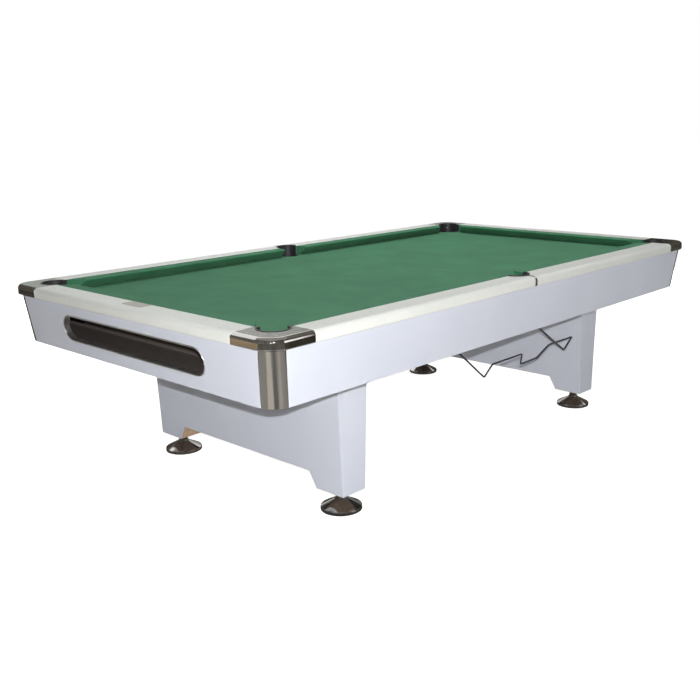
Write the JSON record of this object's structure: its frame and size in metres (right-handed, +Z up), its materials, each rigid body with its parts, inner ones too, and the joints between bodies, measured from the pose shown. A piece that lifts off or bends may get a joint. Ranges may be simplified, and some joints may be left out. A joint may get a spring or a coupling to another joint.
{
  "type": "billiard table",
  "caption": "Pool table with a slate bed in green cloth, white rails and aprons, chrome corners, a ball-return slot, two pedestals and levelling feet.",
  "frame": {"origin": "on the floor, under the middle of the table", "axes": "+X along the table's length away from the ball slot, +Y across it to the left seen from the slot, +Z up"},
  "size_m": [2.86, 1.594, 0.8133],
  "materials": {
    "slate": "honed grey slate",
    "green_cloth": "green worsted billiard cloth",
    "white_rail": "cream-white laminate over hardwood",
    "white_panel": "white laminate over board",
    "chrome": "polished chrome plate",
    "brushed_steel": "brushed stainless steel",
    "black_plastic": "black moulded plastic",
    "dark_painted_steel": "dark brown paint",
    "timber": "planed softwood",
    "dark_steel": "dark grey coated rod"
  },
  "bodies": {
    "table": {"slate_front": "slate", "slate_middle": "slate", "slate_back": "slate", "bed_cloth": "green_cloth", "cushion_front": "green_cloth", "cushion_back": "green_cloth", "cushion_left_front": "green_cloth", "cushion_left_back": "green_cloth", "cushion_right_front": "green_cloth", "cushion_right_back": "green_cloth", "rail_front": "white_rail", "rail_back": "white_rail", "rail_left_front": "white_rail", "rail_left_back": "white_rail", "rail_right_front": "white_rail", "rail_right_back": "white_rail", "corner_casting_front_left": "chrome", "corner_casting_front_right": "chrome", "corner_casting_back_left": "chrome", "corner_casting_back_right": "chrome", "side_divider_left": "chrome", "side_divider_right": "chrome", "slot_bezel": "chrome", "pocket_liner_front_left": "black_plastic", "pocket_liner_front_right": "black_plastic", "pocket_liner_back_left": "black_plastic", "pocket_liner_back_right": "black_plastic", "pocket_liner_side_left": "black_plastic", "pocket_liner_side_right": "black_plastic", "apron_front": "white_panel", "apron_back": "white_panel", "apron_left": "white_panel", "apron_right": "white_panel", "corner_post_front_left": "brushed_steel", "corner_post_front_right": "brushed_steel", "corner_post_back_left": "brushed_steel", "corner_post_back_right": "brushed_steel", "ball_tray": "dark_painted_steel", "ball_runner_left": "black_plastic", "ball_runner_right": "black_plastic", "frame_beam_left": "timber", "frame_beam_right": "timber", "cross_beam_front": "timber", "cross_beam_back": "timber", "pedestal_core_front": "timber", "pedestal_core_back": "timber", "pedestal_panel_front_outer": "white_panel", "pedestal_panel_front_inner": "white_panel", "pedestal_panel_back_outer": "white_panel", "pedestal_panel_back_inner": "white_panel", "wire_holder": "dark_steel", "name_plate": "brushed_steel"},
    "foot_front_left": {"foot_front_left": "chrome"},
    "stem_front_left": {"foot_stem_front_left": "brushed_steel"},
    "foot_front_right": {"foot_front_right": "chrome"},
    "stem_front_right": {"foot_stem_front_right": "brushed_steel"},
    "foot_back_left": {"foot_back_left": "chrome"},
    "stem_back_left": {"foot_stem_back_left": "brushed_steel"},
    "foot_back_right": {"foot_back_right": "chrome"},
    "stem_back_right": {"foot_stem_back_right": "brushed_steel"}
  },
  "joints": [
    {"name": "foot_front_left_level", "type": "slide", "parent": "table", "child": "foot_front_left", "axis": [0, 0, 1], "range_m": [-0.015, 0.02]},
    {"name": "stem_front_left_turn", "type": "hinge", "parent": "foot_front_left", "child": "stem_front_left", "pos_m": [-0.853, 0.4985, 0.08], "axis": [0, 0, 1], "range_deg": [-2165, 2885]},
    {"name": "foot_front_right_level", "type": "slide", "parent": "table", "child": "foot_front_right", "axis": [0, 0, 1], "range_m": [-0.015, 0.02]},
    {"name": "stem_front_right_turn", "type": "hinge", "parent": "foot_front_right", "child": "stem_front_right", "pos_m": [-0.853, -0.4985, 0.08], "axis": [0, 0, 1], "range_deg": [-2165, 2885]},
    {"name": "foot_back_left_level", "type": "slide", "parent": "table", "child": "foot_back_left", "axis": [0, 0, 1], "range_m": [-0.015, 0.02]},
    {"name": "stem_back_left_turn", "type": "hinge", "parent": "foot_back_left", "child": "stem_back_left", "pos_m": [0.853, 0.4985, 0.08], "axis": [0, 0, 1], "range_deg": [-2165, 2885]},
    {"name": "foot_back_right_level", "type": "slide", "parent": "table", "child": "foot_back_right", "axis": [0, 0, 1], "range_m": [-0.015, 0.02]},
    {"name": "stem_back_right_turn", "type": "hinge", "parent": "foot_back_right", "child": "stem_back_right", "pos_m": [0.853, -0.4985, 0.08], "axis": [0, 0, 1], "range_deg": [-2165, 2885]}
  ],
  "couplings": [
    {"joint": "stem_front_left_turn", "follows": "foot_front_left_level", "rad_per_m": 2513.3},
    {"joint": "stem_front_right_turn", "follows": "foot_front_right_level", "rad_per_m": 2513.3},
    {"joint": "stem_back_left_turn", "follows": "foot_back_left_level", "rad_per_m": 2513.3},
    {"joint": "stem_back_right_turn", "follows": "foot_back_right_level", "rad_per_m": 2513.3}
  ]
}
